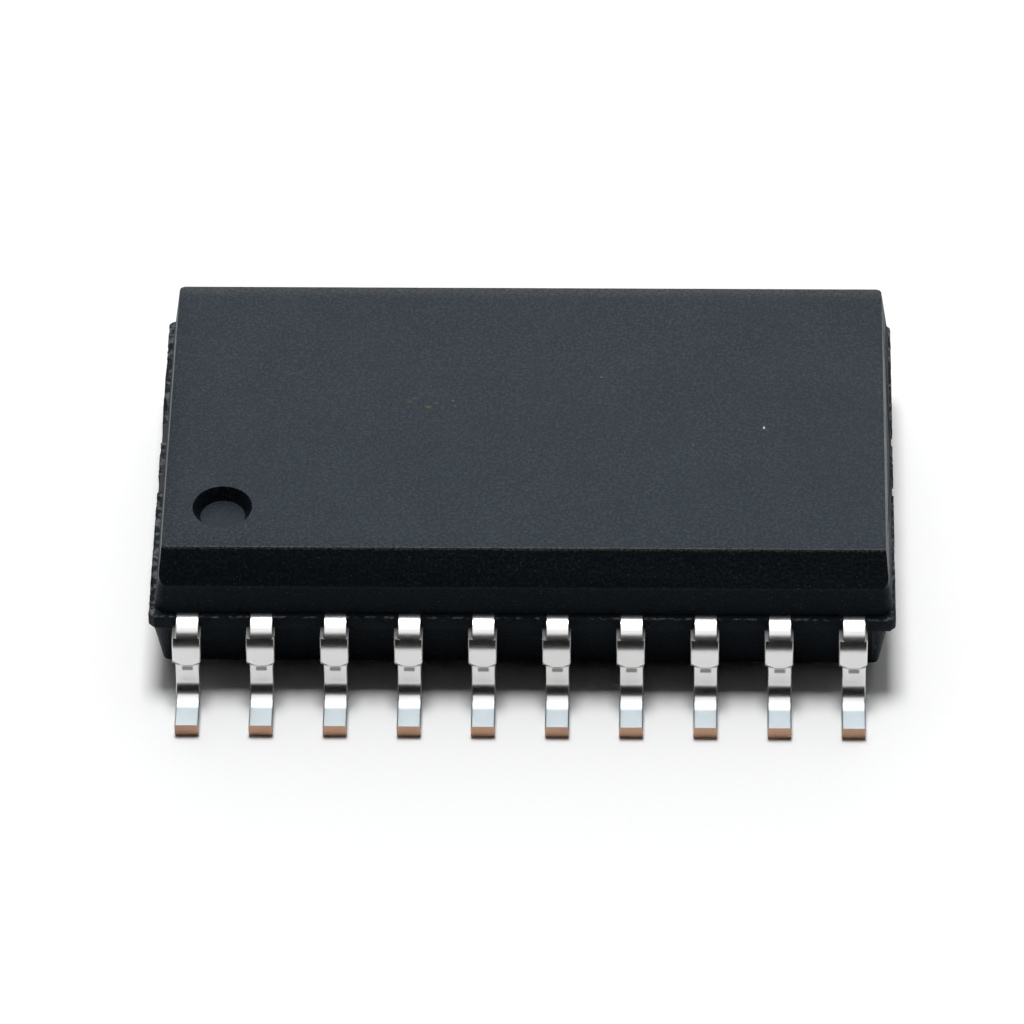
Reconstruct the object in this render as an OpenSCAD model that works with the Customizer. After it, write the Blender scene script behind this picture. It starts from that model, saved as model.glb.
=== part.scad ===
// Wide-body small-outline chip with two rows of gull-wing leads.
// X runs along the rows, Y across them and Z up. The origin is on the seating plane, midway
// between the rows and midway along them. Lead 1 is at -X, -Y; the numbers run anticlockwise.

/* [Moulded body] */
// Length of the upper half where it meets the flange
upper_l = 12.68; // [12.2:0.01:12.9]
// Width of the upper half where it meets the flange
upper_w = 7.38; // [7.1:0.01:7.45]
// Height of the upper half, from the flange to the top face
upper_h = 1.04; // [0.9:0.01:1.2]
// Length of the lower half where it meets the flange
lower_l = 12.74; // [12.2:0.01:12.9]
// Width of the lower half where it meets the flange
lower_w = 7.38; // [7.1:0.01:7.45]
// Height of the lower half, from the bottom face to the flange
lower_h = 1.05; // [0.9:0.01:1.2]
// Height of the bottom face above the seating plane
standoff = 0.22; // [0.1:0.01:0.3]
// Draft of the upper half's walls, in degrees
upper_draft = 7.7; // [4:0.1:10]
// Draft of the lower half's walls, in degrees
lower_draft = 10.5; // [4:0.1:12]
// Corner radius round the top face
top_corner_r = 0.1; // [0.05:0.01:0.2]
// Corner radius round the bottom face
bottom_corner_r = 0.12; // [0.05:0.01:0.2]
// How far the upper mould half sits towards +X
upper_shift = 0.05; // [0:0.01:0.06]
// How far the lower mould half sits towards -X
lower_shift = 0.02; // [0:0.01:0.04]

/* [Flange at the parting line] */
// Length over the flange
flange_l = 12.82; // [12.8:0.01:13.1]
// Width over the flange
flange_w = 7.6; // [7.5:0.01:7.7]
// How far the flange sits towards +X
flange_shift = 0.02; // [0:0.01:0.03]
// Bevel across the flange's four corners
flange_corner = 0.1; // [0.05:0.01:0.15]

/* [Marks on the body] */
// Height of the 45 degree bevel along the lead 1 edge
bevel_h = 0.475; // [0.25:0.005:0.6]
// Diameter of the lead 1 recess at the top face
recess_d = 1.03; // [0.8:0.01:1.2]
// Diameter of the recess's flat floor
recess_floor_d = 0.77; // [0.5:0.01:0.78]
// Depth of the recess
recess_depth = 0.22; // [0.1:0.01:0.3]
// Distance from the recess's centre to the top face's end edge and to the bevel
recess_inset = 1.0; // [0.8:0.01:1.5]
// Diameter of each ejector mark under the body
ejector_d = 1.5; // [1:0.05:2]
// Depth of the ejector marks
ejector_depth = 0.05; // [0.03:0.01:0.1]
// Distance between the two ejector marks
ejector_pitch = 7.6; // [6:0.1:8.5]

/* [Leads outside the body] */
// Leads in each row
leads_per_row = 10; // [6:2:10]
// Distance from lead to lead
pitch = 1.27; // [1.2:0.01:1.3]
// Thickness of the lead frame
lead_t = 0.25; // [0.2:0.01:0.3]
// Width of a lead
lead_w = 0.41; // [0.31:0.01:0.51]
// Flat length of a foot, from the end of the heel's bend to the toe
foot_l = 0.406; // [0.3:0.002:0.7]
// Level stretch of a lead beyond the foot of the body's wall
shoulder_run = 0.01; // [0.01:0.01:0.05]
// Inside radius of the bend at the shoulder
shoulder_r = 0.29; // [0.2:0.01:0.32]
// Inside radius of the bend at the heel
heel_r = 0.4; // [0.2:0.01:0.45]
// Steepness of the stretch between the bends, in degrees
riser_angle = 77; // [70:1:84]
// Stub of the sheared dam bar on a lead's -X side
stub_left = 0.055; // [0.02:0.005:0.1]
// Stub of the sheared dam bar on a lead's +X side
stub_right = 0.025; // [0.02:0.005:0.1]
// Height above the seating plane at which the stubs end
stub_low = 0.885; // [0.8:0.005:1]
// Height of the stubs, measured straight up
stub_h = 0.435; // [0.2:0.005:0.5]

/* [Fingers inside the body] */
// Width of the anchor, just inside the body
anchor_w = 0.62; // [0.5:0.01:0.8]
// Length of the anchor
anchor_l = 0.3; // [0.2:0.01:0.4]
// Distance from the body's wall to the anchor
anchor_inset = 0.25; // [0.15:0.01:0.35]
// Width of a finger where it leaves its anchor
finger_w = 0.38; // [0.3:0.01:0.42]
// Width of a finger's tip
finger_tip_w = 0.28; // [0.2:0.01:0.32]
// Distance between the fingers' tips along the die pad
finger_pitch = 0.95; // [0.9:0.01:1]
// Distance between the tips of the two fingers at each end of the die pad
end_finger_pitch = 0.53; // [0.45:0.01:0.55]
// Gap between the die pad and the fingers
finger_gap = 0.25; // [0.2:0.01:0.35]

/* [Die pad and tie bars] */
// Length of the die pad
pad_l = 5.2; // [4.8:0.01:5.4]
// Width of the die pad
pad_w = 3.4; // [3.2:0.01:3.5]
// How far the die pad lies below the leads
downset = 0.2; // [0.1:0.01:0.24]
// Width of a tie bar
tie_w = 0.45; // [0.3:0.01:0.5]
// Distance between the two tie bars at one end
tie_pitch = 1.27; // [1.1:0.01:1.3]
// How far the pair of tie bars sits towards +Y
tie_shift = 0.19; // [0:0.01:0.2]
// Level stretch of a tie bar beside the die pad
tie_run = 0.5; // [0.3:0.05:0.8]
// Length of the slope of a tie bar, measured along X
tie_slope = 0.35; // [0.25:0.05:0.5]
// How far the sheared end of a tie bar lies behind the flange's edge
tie_recess = 0.025; // [0.01:0.005:0.035]

/* [Die and bonds] */
// Length of the silicon die
die_l = 3.8; // [3.4:0.05:4.2]
// Width of the silicon die
die_w = 2.6; // [2.4:0.05:2.8]
// Thickness of the silicon die
die_t = 0.28; // [0.2:0.01:0.38]
// Thickness of the die attach
attach_t = 0.025; // [0.02:0.005:0.04]
// How far the die attach spreads past the die
attach_edge = 0.08; // [0.05:0.01:0.15]
// Distance from the die's edge to the centres of the bonds
bond_inset = 0.12; // [0.08:0.01:0.2]
// Distance between bonds along the die's long edges
bond_pitch = 0.66; // [0.5:0.01:0.7]
// Distance between bonds at the die's ends
end_bond_pitch = 0.4; // [0.3:0.01:0.45]
// Diameter of the bond wire
wire_d = 0.033; // [0.025:0.001:0.04]
// Diameter of a ball bond
ball_d = 0.08; // [0.07:0.005:0.1]
// Height of a ball bond
ball_h = 0.02; // [0.015:0.001:0.03]
// Height of a wire's loop above the die
loop_h = 0.2; // [0.17:0.01:0.25]
// Radius of the bend at the top of a loop
loop_r = 0.1; // [0.06:0.01:0.12]
// Distance from a finger's tip to the end of its wire
wire_land = 0.15; // [0.12:0.01:0.2]

/* [Hidden] */
$fn = 48;
bend_steps = 14;
lead_count = 2 * leads_per_row;
slack = 1;

// Levels, from the seating plane up
flange_z = standoff + lower_h;
parting_z = flange_z + lead_t;
top_z = parting_z + upper_h;
pad_top_z = parting_z - downset;
die_z = pad_top_z + attach_t;
bond_z = die_z + die_t;

// Body
upper_inset = upper_h * tan(upper_draft);
flange_left = flange_shift - flange_l / 2;
flange_right = flange_shift + flange_l / 2;
wall_y = upper_w / 2;
recess_x = upper_shift - upper_l / 2 + upper_inset + recess_inset;
recess_y = -wall_y + upper_inset + bevel_h - bevel_h * tan(upper_draft) + recess_inset;

// Gull wing, seen from the side: u is the distance outward from the chip's centre line.
// The radii are those of the lead's upper face.
bend_u = wall_y + shoulder_run;
bend_r = shoulder_r + lead_t;
riser_drop = parting_z - lead_t - (bend_r + heel_r) * (1 - cos(riser_angle));
heel_u = bend_u + (bend_r + heel_r) * sin(riser_angle) + riser_drop / tan(riser_angle);
toe_u = heel_u + foot_l;

// Anchors and fingers. In each quarter, end_fingers of them end beside the die pad's end.
end_fingers = 2;
anchor_y = wall_y - anchor_inset;
fan_y = anchor_y - anchor_l;
row_y = pad_w / 2 + finger_gap;
end_x = pad_l / 2 + finger_gap + finger_tip_w / 2;
row_fingers = leads_per_row / 2 - end_fingers;

function two_digits(n) = str(n < 10 ? "0" : "", n);
function names(stem) = [for (n = [1:lead_count]) str(stem, two_digits(n))];

// Which row a lead is in, as its sign along Y
function row_side(n) = n <= leads_per_row ? -1 : 1;

// A lead's place along its row, as signed lead pitches from the middle
function place(n) = n <= leads_per_row
    ? n - (leads_per_row + 1) / 2
    : lead_count - n - (leads_per_row - 1) / 2;

// Tip of the finger whose place along the row is p, as seen in the +Y row
function tip(p) =
    let (nth = abs(p) + 0.5 - row_fingers)
    nth <= 0
        ? [p * finger_pitch, row_y]
        : [sign(p) * end_x, row_y - (nth - 1) * end_finger_pitch];

// Bond on the die for the same finger
function bond(p) =
    let (nth = abs(p) + 0.5 - row_fingers)
    nth <= 0
        ? [p * bond_pitch, die_w / 2 - bond_inset]
        : [sign(p) * (die_l / 2 - bond_inset), die_w / 2 - bond_inset - nth * end_bond_pitch];

// Block with drafted walls and rounded upright edges. It narrows from its base at z = 0 to a
// top at z = height, where the corner radius is the smallest.
module drafted_block(length, width, height, draft, corner_r) {
    inset = height * tan(draft);
    base_r = corner_r + inset;
    core_x = length / 2 - base_r;
    core_y = width / 2 - base_r;
    rotate([90, 0, 0])
        linear_extrude(2 * core_y, center = true)
            drafted_section(length / 2, height, inset);
    rotate([90, 0, 90])
        linear_extrude(2 * core_x, center = true)
            drafted_section(width / 2, height, inset);
    for (x = [-core_x, core_x], y = [-core_y, core_y])
        translate([x, y, 0])
            cylinder(h = height, r1 = base_r, r2 = corner_r);
}

module drafted_section(half_width, height, inset) {
    polygon([
        [-half_width, 0], [half_width, 0],
        [half_width - inset, height], [inset - half_width, height]
    ]);
}

// Everything of the outer moulding, before anything is taken out of it
module moulding() {
    difference() {
        translate([upper_shift, 0, parting_z])
            drafted_block(upper_l, upper_w, upper_h, upper_draft, top_corner_r);
        edge_bevel();
        recess();
    }
    translate([0, 0, flange_z])
        linear_extrude(lead_t)
            flange_outline();
    difference() {
        translate([-lower_shift, 0, flange_z])
            mirror([0, 0, 1])
                drafted_block(lower_l, lower_w, lower_h, lower_draft, bottom_corner_r);
        ejector_marks();
    }
}

module flange_outline() {
    x0 = flange_left;
    x1 = flange_right;
    y1 = flange_w / 2;
    c = flange_corner;
    polygon([
        [x0 + c, -y1], [x1 - c, -y1], [x1, c - y1], [x1, y1 - c],
        [x1 - c, y1], [x0 + c, y1], [x0, y1 - c], [x0, c - y1]
    ]);
}

// 45 degree cut that starts on the wall, bevel_h below the top face
module edge_bevel() {
    bevel_y = -wall_y + (upper_h - bevel_h) * tan(upper_draft);
    translate([0, bevel_y, top_z - bevel_h])
        rotate([90, 0, 90])
            linear_extrude(upper_l + slack, center = true)
                polygon([[-slack, -slack], [slack, slack], [-slack, slack]]);
}

module recess() {
    wall_slope = (recess_d - recess_floor_d) / 2 / recess_depth;
    translate([recess_x, recess_y, top_z - recess_depth])
        cylinder(
            h = 2 * recess_depth,
            r1 = recess_floor_d / 2,
            r2 = recess_floor_d / 2 + 2 * recess_depth * wall_slope
        );
}

module ejector_marks() {
    for (x = [-ejector_pitch / 2, ejector_pitch / 2])
        translate([x, 0, standoff - ejector_depth])
            cylinder(h = 2 * ejector_depth, d = ejector_d);
}

// The moulding, closed tightly round all that it holds
module moulded_body() {
    color([0.13, 0.14, 0.16])
        difference() {
            moulding();
            for (n = [1:lead_count]) {
                lead_solid(n);
                bond_wire_solid(n);
            }
            die_pad_solid();
            lead_notches();
            tie_notches();
            die_attach_solid();
            silicon_die_solid();
        }
}

// The flange is open above each lead, which bends down as soon as it leaves the wall
module lead_notches() {
    for (n = [1:lead_count])
        translate([place(n) * pitch, row_side(n) * (wall_y + slack / 2), parting_z])
            cube([lead_w, slack, lead_t], center = true);
}

// Where the tie bars were sheared off, the flange is open as far as their ends
module tie_notches() {
    for (y = tie_places(), x = [flange_left, flange_right])
        translate([x, y, flange_z + lead_t / 2])
            cube([2 * tie_recess, tie_w, lead_t], center = true);
}

// Points on an arc about a centre, from angle a to angle b
function arc(centre, radius, a, b) = [
    for (i = [0:bend_steps])
        let (angle = a + (b - a) * i / bend_steps)
        centre + radius * [cos(angle), sin(angle)]
];

// Side view of a lead outside its anchor: out along its upper face, back along its lower one
module gull_wing_side() {
    root_u = anchor_y - anchor_l / 2;
    shoulder = [bend_u, parting_z - bend_r];
    heel = [heel_u, lead_t + heel_r];
    polygon(concat(
        [[root_u, parting_z]],
        arc(shoulder, bend_r, 90, 90 - riser_angle),
        arc(heel, heel_r, 270 - riser_angle, 270),
        [[toe_u, lead_t], [toe_u, 0]],
        arc(heel, heel_r + lead_t, 270, 270 - riser_angle),
        arc(shoulder, shoulder_r, 90 - riser_angle, 90),
        [[root_u, parting_z - lead_t]]
    ));
}

// End view of a lead: its width, with the stubs of the dam bar
module gull_wing_front() {
    translate([-lead_w / 2, -slack])
        square([lead_w, parting_z + 2 * slack]);
    translate([-lead_w / 2 - stub_left, stub_low])
        square([stub_left + lead_w + stub_right, stub_h]);
}

// Plan of a finger from its anchor to its tip, for place p in the +Y row
module finger_plan(p) {
    x = p * pitch;
    end = tip(p);
    translate([x - anchor_w / 2, fan_y])
        square([anchor_w, anchor_l]);
    polygon([
        [x - finger_w / 2, fan_y], [x + finger_w / 2, fan_y],
        end + [finger_tip_w / 2, 0], end - [finger_tip_w / 2, 0]
    ]);
}

// Lead in the +Y row; mirrored for the other row
module lead_for(p) {
    intersection() {
        translate([p * pitch, 0, 0])
            rotate([90, 0, 90])
                linear_extrude(2 * anchor_w, center = true)
                    gull_wing_side();
        translate([p * pitch, 0, 0])
            rotate([90, 0, 180])
                mirror([1, 0, 0])
                    linear_extrude(toe_u + slack)
                        gull_wing_front();
    }
    translate([0, 0, parting_z - lead_t])
        linear_extrude(lead_t)
            finger_plan(p);
}

module on_row(n) {
    if (row_side(n) < 0)
        mirror([0, 1, 0])
            children();
    else
        children();
}

module lead_solid(n) {
    on_row(n)
        lead_for(place(n));
}

module lead(n) {
    color([0.78, 0.79, 0.78])
        lead_solid(n);
}

function tie_places() = [tie_shift - tie_pitch / 2, tie_shift + tie_pitch / 2];

// Side view of the tie bar towards +X, from the die pad out to end_u
module tie_bar_side(end_u) {
    low_u = pad_l / 2 + tie_run;
    high_u = low_u + tie_slope;
    polygon([
        [0, pad_top_z], [low_u, pad_top_z], [high_u, parting_z], [end_u, parting_z],
        [end_u, parting_z - lead_t], [high_u, parting_z - lead_t],
        [low_u, pad_top_z - lead_t], [0, pad_top_z - lead_t]
    ]);
}

module tie_bar(end_u) {
    rotate([90, 0, 0])
        linear_extrude(tie_w, center = true)
            tie_bar_side(end_u);
}

module die_pad_solid() {
    translate([-pad_l / 2, -pad_w / 2, pad_top_z - lead_t])
        cube([pad_l, pad_w, lead_t]);
    for (y = tie_places())
        translate([0, y, 0]) {
            tie_bar(flange_right - tie_recess);
            mirror([1, 0, 0])
                tie_bar(-flange_left - tie_recess);
        }
}

module die_pad() {
    color([0.80, 0.47, 0.30])
        die_pad_solid();
}

// Flat block centred on the Z axis, standing on level z
module slab(size, z) {
    translate([-size.x / 2, -size.y / 2, z])
        cube(size);
}

module die_attach_solid() {
    slab([die_l + 2 * attach_edge, die_w + 2 * attach_edge, attach_t], pad_top_z);
}

module die_attach() {
    color([0.70, 0.70, 0.72])
        die_attach_solid();
}

module silicon_die_solid() {
    slab([die_l, die_w, die_t], die_z);
}

module silicon_die() {
    color([0.35, 0.38, 0.45])
        silicon_die_solid();
}

// Wire from its ball at the origin to a point run along X and drop below the ball's foot
module wire_loop(run, drop) {
    wire_r = wire_d / 2;
    bend_z = loop_h - loop_r;
    fall = bend_z + drop;
    reach = run - loop_r;
    from_bend = sqrt(reach * reach + fall * fall);
    leave = acos(loop_r / from_bend) - atan2(fall, reach);
    slope_l = sqrt(from_bend * from_bend - loop_r * loop_r);
    cylinder(h = ball_h, d = ball_d);
    translate([0, 0, ball_h])
        cylinder(h = bend_z - ball_h, r = wire_r);
    translate([loop_r, 0, bend_z])
        rotate([90, 0, 180])
            mirror([0, 0, 1])
                rotate_extrude(angle = 180 - leave)
                    translate([loop_r, 0])
                        circle(wire_r);
    intersection() {
        translate([loop_r, 0, bend_z])
            rotate([0, 90 - leave, 0])
                translate([0, 0, loop_r])
                    rotate([0, 90, 0])
                        cylinder(h = slope_l + slack * ball_d, r = wire_r);
        translate([0, -ball_d / 2, -drop])
            cube([run + slack, ball_d, drop + loop_h + wire_d]);
    }
}

module bond_wire_solid(n) {
    p = place(n);
    from = bond(p);
    to = tip(p) + [0, wire_land];
    run = norm(to - from);
    on_row(n)
        translate([from.x, from.y, bond_z])
            rotate([0, 0, atan2(to.y - from.y, to.x - from.x)])
                wire_loop(run, bond_z - parting_z);
}

module bond_wire(n) {
    color([0.90, 0.72, 0.30])
        bond_wire_solid(n);
}

moulded_body();
die_pad();
die_attach();
silicon_die();
for (n = [1:lead_count]) {
    lead(n);
    bond_wire(n);
}
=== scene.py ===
"""Looks of a wide-body small-outline chip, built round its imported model.

Shapes are worked in millimetres, and brought to metres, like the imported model, once finished.
X runs along the rows of leads, Y across them and Z up from the seating plane.
"""

import logging
import math
import random
from dataclasses import dataclass, field
from enum import Enum
from typing import Callable

import bpy
from mathutils import Matrix, Vector


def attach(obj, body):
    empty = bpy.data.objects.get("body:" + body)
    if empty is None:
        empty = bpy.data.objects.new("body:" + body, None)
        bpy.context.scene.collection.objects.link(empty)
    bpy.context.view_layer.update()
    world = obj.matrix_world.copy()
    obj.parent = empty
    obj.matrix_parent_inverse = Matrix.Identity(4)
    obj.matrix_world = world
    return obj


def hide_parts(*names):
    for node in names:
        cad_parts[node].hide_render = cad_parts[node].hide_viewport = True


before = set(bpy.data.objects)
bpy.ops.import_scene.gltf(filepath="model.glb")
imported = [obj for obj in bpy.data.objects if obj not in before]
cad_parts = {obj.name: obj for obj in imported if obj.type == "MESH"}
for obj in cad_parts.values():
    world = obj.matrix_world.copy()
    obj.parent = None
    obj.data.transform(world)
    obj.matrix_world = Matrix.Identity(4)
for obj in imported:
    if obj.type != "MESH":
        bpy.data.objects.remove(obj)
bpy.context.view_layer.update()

MM = 0.001
LOG = logging.getLogger("chip")


class Slot(Enum):
    """Material slots of the record, named here; no piece made here is given one."""

    MOULD = "mould_compound"
    TIN = "tinned_lead"


class Row(Enum):
    """Side of the body that a lead leaves from, as its sign along Y."""

    FRONT = -1
    BACK = 1


# ---------------------------------------------------------------- node trees


class Tree:
    """A node tree with short calls for adding and joining nodes."""

    def __init__(self, tree: bpy.types.NodeTree) -> None:
        """Wraps a tree.

        Args:
            tree: The node tree to add to.
        """
        self.tree = tree

    def feed(self, socket: bpy.types.NodeSocket, value: object) -> None:
        """Gives an input its value.

        Args:
            socket: The input.
            value: A constant, or the socket that feeds the input.
        """
        if isinstance(value, bpy.types.NodeSocket):
            self.tree.links.new(value, socket)
        else:
            socket.default_value = value

    def add(self, kind: str, values: dict | None = None, **settings: object) -> bpy.types.Node:
        """Adds a node.

        Args:
            kind: The node's type name.
            values: Input name or number to a value, or to the socket that feeds it.
            **settings: Properties of the node itself.

        Returns:
            The new node.
        """
        node = self.tree.nodes.new(kind)
        for name, setting in settings.items():
            setattr(node, name, setting)
        for key, value in (values or {}).items():
            self.feed(node.inputs[key], value)
        return node

    def math(self, operation: str, *values: object, clamp: bool = False) -> bpy.types.NodeSocket:
        """Adds a sum of one or more numbers.

        Args:
            operation: The Math node's operation.
            *values: Numbers or sockets.
            clamp: Whether the result stays between 0 and 1.

        Returns:
            The result's socket.
        """
        entries = dict(enumerate(values))
        return self.add("ShaderNodeMath", entries, operation=operation, use_clamp=clamp).outputs[0]

    def vector(self, operation: str, *values: object) -> bpy.types.Node:
        """Adds a Vector Math node.

        Args:
            operation: The node's operation.
            *values: Vectors or sockets, in the order of the inputs.

        Returns:
            The node.
        """
        return self.add("ShaderNodeVectorMath", dict(enumerate(values)), operation=operation)

    def fade(self, value: object, start: object, end: object) -> bpy.types.NodeSocket:
        """Maps a value smoothly from 0 at start to 1 at end.

        Args:
            value: The socket to map.
            start: Value that gives 0.
            end: Value that gives 1.

        Returns:
            The mask's socket.
        """
        values = {"Value": value, "From Min": start, "From Max": end}
        return self.add("ShaderNodeMapRange", values, interpolation_type="SMOOTHSTEP").outputs[0]

    def blend(self, mask: object, low: object, high: object) -> bpy.types.NodeSocket:
        """Mixes two colours.

        Args:
            mask: 0 for low, 1 for high.
            low: Colour or socket.
            high: Colour or socket.

        Returns:
            The colour's socket.
        """
        return self.add("ShaderNodeMix", {0: mask, 6: low, 7: high}, data_type="RGBA").outputs[2]

    def place(self) -> bpy.types.NodeSocket:
        """Adds the place on the object, in millimetres.

        Returns:
            The vector's socket.
        """
        values = {0: self.add("ShaderNodeTexCoord").outputs["Object"], "Scale": 1 / MM}
        return self.add("ShaderNodeVectorMath", values, operation="SCALE").outputs[0]


def new_group(name: str, inputs: dict[str, str], outputs: dict[str, str]) -> tuple:
    """Makes a shader node group with its sockets.

    Args:
        name: The group's name.
        inputs: Input name to socket type.
        outputs: Output name to socket type.

    Returns:
        The group, its wrapped tree, the inputs' node and the outputs' node.
    """
    group = bpy.data.node_groups.new(name, "ShaderNodeTree")
    for way, sockets in (("INPUT", inputs), ("OUTPUT", outputs)):
        for socket, kind in sockets.items():
            group.interface.new_socket(socket, in_out=way, socket_type=kind)
    tree = Tree(group)
    return group, tree, tree.add("NodeGroupInput"), tree.add("NodeGroupOutput")


FLOAT = "NodeSocketFloat"
VECTOR = "NodeSocketVector"
FLECK_RIM, FLECK_CORE = 0.45, 0.1
SPOT_RIM, SPOT_CORE = 1.45, 1.05


def grain_group() -> bpy.types.NodeTree:
    """Makes the fine grain of a surface.

    Returns:
        A group that takes the Frequency of the grain and the share of Flecks.
        It gives Height, Mottle and Fleck.
    """
    group, tree, into, out = new_group(
        "surface_grain", {"Frequency": FLOAT, "Flecks": FLOAT},
        {"Height": FLOAT, "Mottle": FLOAT, "Fleck": FLOAT})
    place = tree.place()
    frequency = into.outputs["Frequency"]
    fine = tree.add("ShaderNodeTexNoise", {
        "Vector": place, "Scale": frequency, "Detail": 3.0, "Roughness": 0.6})
    broad = tree.add("ShaderNodeTexNoise", {
        "Vector": place, "Scale": 0.9, "Detail": 4.0, "Roughness": 0.55})
    cells = tree.add("ShaderNodeTexVoronoi", {"Vector": place, "Scale": frequency})
    lot = tree.add("ShaderNodeSeparateColor", {0: cells.outputs["Color"]})
    chosen = tree.math("LESS_THAN", lot.outputs[0], into.outputs["Flecks"])
    core = tree.fade(cells.outputs["Distance"], FLECK_RIM, FLECK_CORE)
    tree.feed(out.inputs["Height"], fine.outputs[0])
    tree.feed(out.inputs["Mottle"], broad.outputs[0])
    tree.feed(out.inputs["Fleck"], tree.math("MULTIPLY", chosen, core))
    return group


def spot_group() -> bpy.types.NodeTree:
    """Makes one mark at a place.

    Returns:
        A group that takes a Centre and the Reach along each axis, in millimetres.
        It gives the mark's Mask.
    """
    group, tree, into, out = new_group("spot", {"Centre": VECTOR, "Reach": VECTOR}, {"Mask": FLOAT})
    place = tree.place()
    shift = tree.vector("SUBTRACT", place, into.outputs["Centre"])
    ragged = tree.add("ShaderNodeTexNoise", {"Vector": place, "Scale": 22.0, "Detail": 2.0})
    share = tree.vector("DIVIDE", shift.outputs[0], into.outputs["Reach"])
    distance = tree.vector("LENGTH", share.outputs[0]).outputs["Value"]
    edge = tree.math("ADD", distance, ragged.outputs[0])
    tree.feed(out.inputs["Mask"], tree.fade(edge, SPOT_RIM, SPOT_CORE))
    return group


# ---------------------------------------------------------------- finishes


@dataclass(frozen=True)
class Mark:
    """A speck or a scratch on the top face, in millimetres."""

    centre: tuple[float, float]
    reach: tuple[float, float]
    colour: tuple[float, float, float, float]


@dataclass(frozen=True)
class MouldFinish:
    """Black filled epoxy, from a spark-eroded mould."""

    dark: tuple[float, float, float, float] = (0.0, 0.0, 0.0, 1.0)
    pale: tuple[float, float, float, float] = (0.0240, 0.0290, 0.0340, 1.0)
    # Darker copies of the top's speckle colours for the sides below the top face: painted shade.
    shaded_side_dark: tuple[float, float, float, float] = (0.0015, 0.0020, 0.0026, 1.0)
    shaded_side_pale: tuple[float, float, float, float] = (0.0078, 0.0100, 0.0118, 1.0)
    filler: tuple[float, float, float, float] = (0.022, 0.025, 0.029, 1.0)
    # Pale torn flash along the flange's edge, partly a painted highlight of that edge.
    flash_and_highlight: tuple[float, float, float, float] = (0.110, 0.112, 0.112, 1.0)
    # Colour of the worn back edge, and of the painted highlight along the top edge above the bevel.
    worn_and_highlight: tuple[float, float, float, float] = (0.062, 0.056, 0.048, 1.0)
    tint: tuple[float, float, float, float] = (0.56, 0.78, 1.0, 1.0)
    roughness: float = 0.43
    specular: float = 0.155
    frequency: float = 20.0
    flecks: float = 0.10
    grain_height: float = 0.016
    relief: float = 0.85
    speckle: tuple[float, float] = (0.40, 0.72)
    grain_roughness: float = 0.34
    mottle_roughness: float = 0.12
    parting_z: float = 1.52
    lower_blend: float = 0.25
    flash_band: float = 0.035
    flash_y: float = 3.755
    flash_x: float = 6.28
    flash_scale: float = 9.0
    flash_torn: tuple[float, float] = (0.46, 0.66)
    side_z: float = 2.06
    side_blend: float = 0.05
    side_roughness: float = 0.22
    top_z: float = 2.56
    top_blend: tuple[float, float] = (0.05, 0.01)
    worn_y: tuple[float, float] = (3.22, 3.56)
    worn_z: tuple[float, float] = (2.50, 2.54)
    worn_speckle: tuple[float, float] = (0.2, 0.8)
    bevel_y: float = -3.1386
    # Painted highlight along the top face's edge above the lead 1 bevel.
    highlight_half: tuple[float, float] = (0.04, 0.012)
    highlight_speckle: tuple[float, float] = (0.3, 0.7)
    mark_depth: float = 0.1
    marks: tuple[Mark, ...] = (
        Mark((4.17, -0.07), (0.022, 0.045), (0.55, 0.55, 0.53, 1.0)),
        Mark((1.33, 1.22), (0.020, 0.020), (0.16, 0.16, 0.16, 1.0)),
        Mark((2.94, -0.52), (0.020, 0.020), (0.12, 0.12, 0.12, 1.0)),
        Mark((-2.00, 0.57), (0.065, 0.036), (0.036, 0.038, 0.006, 1.0)),
        Mark((-1.91, 0.65), (0.075, 0.036), (0.034, 0.036, 0.006, 1.0)),
        Mark((-1.81, 0.76), (0.050, 0.034), (0.030, 0.033, 0.008, 1.0)),
        Mark((-1.67, 0.43), (0.070, 0.050), (0.052, 0.052, 0.014, 1.0)),
        Mark((-1.54, 0.53), (0.060, 0.034), (0.034, 0.036, 0.006, 1.0)),
        Mark((-1.25, 0.59), (0.026, 0.030), (0.075, 0.085, 0.095, 1.0)),
        Mark((-1.21, 0.45), (0.030, 0.030), (0.050, 0.052, 0.020, 1.0)),
    )

    def material(self, grain: bpy.types.NodeTree, spot: bpy.types.NodeTree) -> bpy.types.Material:
        """Makes the material.

        Args:
            grain: The surface grain's group.
            spot: The spot's group.

        Returns:
            The material.
        """
        material, tree, shader = new_material("moulded_epoxy", {
            "Metallic": 0.0, "Specular IOR Level": self.specular, "Specular Tint": self.tint})
        grains = tree.add("ShaderNodeGroup", {
            "Frequency": self.frequency, "Flecks": self.flecks}, node_tree=grain)
        place = tree.add("ShaderNodeSeparateXYZ", {0: tree.place()})
        top = tree.fade(place.outputs[2], self.top_z - self.top_blend[0],
                        self.top_z - self.top_blend[1])
        colour = self.epoxy(tree, grains, top)
        # Torn flash and painted highlight along the flange's upper edge.
        colour = tree.blend(self.torn_flash_and_highlight(tree, place), colour, self.flash_and_highlight)
        for mark in self.marks:
            node = tree.add("ShaderNodeGroup", {
                "Centre": (*mark.centre, self.top_z), "Reach": (*mark.reach, self.mark_depth)},
                node_tree=spot)
            colour = tree.blend(node.outputs[0], colour, mark.colour)
        # Wear at the back edge, and a painted highlight along the bevel's top edge.
        for mask in self.wear_and_highlight(tree, grains, place, top):
            colour = tree.blend(mask, colour, self.worn_and_highlight)
        tree.feed(shader.inputs["Base Color"], colour)
        tree.feed(shader.inputs["Roughness"], self.sheen(tree, grains, place))
        bump(tree, shader, grains.outputs["Height"], self.grain_height, self.relief)
        return material

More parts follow.
